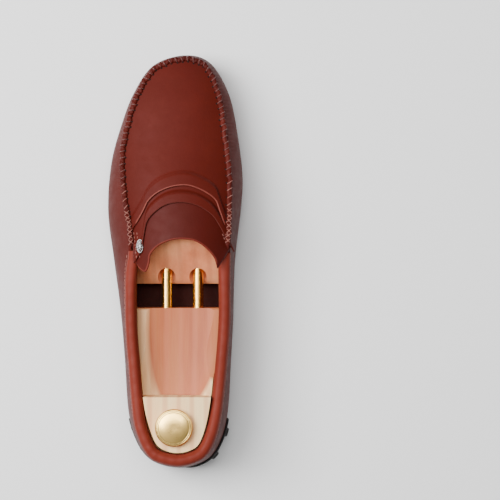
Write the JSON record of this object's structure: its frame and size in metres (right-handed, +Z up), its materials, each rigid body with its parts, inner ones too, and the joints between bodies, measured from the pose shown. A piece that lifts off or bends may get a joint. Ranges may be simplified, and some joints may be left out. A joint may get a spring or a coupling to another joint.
{
  "type": "driving moccasin with shoe tree",
  "caption": "Left slip-on moccasin in red-brown leather with hand-sewn apron, strap and padded collar, kept on a sprung wooden tree that slides on tubes.",
  "frame": {"origin": "middle of the bounding box in plan, on the floor under the rubber pebbles", "axes": "+Z up, +Y toward the toe, +X toward the inner (medial) side of the left foot"},
  "size_m": [0.0932, 0.2866, 0.065],
  "materials": {
    "upper_leather": "red-brown smooth calf, satin sheen, fine grain",
    "lining_leather": "matt unfinished leather",
    "board": "stiff bonded leather board",
    "foam": "open-cell foam",
    "thread": "waxed thread",
    "rubber": "matt moulded rubber",
    "cedar": "bare sanded aromatic cedar",
    "brass": "polished, lacquered",
    "plug_plastic": "moulded",
    "silver": "polished",
    "steel": "spring steel"
  },
  "bodies": {
    "shoe": {"apron": "upper_leather", "collar": "upper_leather", "collar_foam": "foam", "collar_thread": "thread", "footbed": "lining_leather", "forefoot_sole": "rubber", "heel_counter": "board", "heel_cushion": "foam", "heel_patch": "rubber", "heel_sole": "rubber", "insole_board": "board", "penny_strap": "upper_leather", "seam_thread": "thread", "side_lining": "lining_leather", "spring_inner": "steel", "spring_outer": "steel", "strap_stud": "silver", "strap_thread": "thread", "toe_block": "cedar", "tongue": "upper_leather", "tube_inner": "brass", "tube_outer": "brass", "tube_plug_inner": "plug_plastic", "tube_plug_outer": "plug_plastic", "vamp_lining": "lining_leather", "wrap": "upper_leather"},
    "heel_slider": {"heel_block": "cedar", "knob": "brass", "knob_screw": "brass", "stop_pin_outer": "steel", "stop_pin_inner": "steel"}
  },
  "joints": [
    {"name": "tree_squeeze", "type": "slide", "parent": "shoe", "child": "heel_slider", "axis": [0, 1, 0], "range_m": [0, 0.014], "stiffness_N_per_m": 1500, "springref_m": -0.008, "deforming": ["spring_outer", "spring_inner"]}
  ]
}
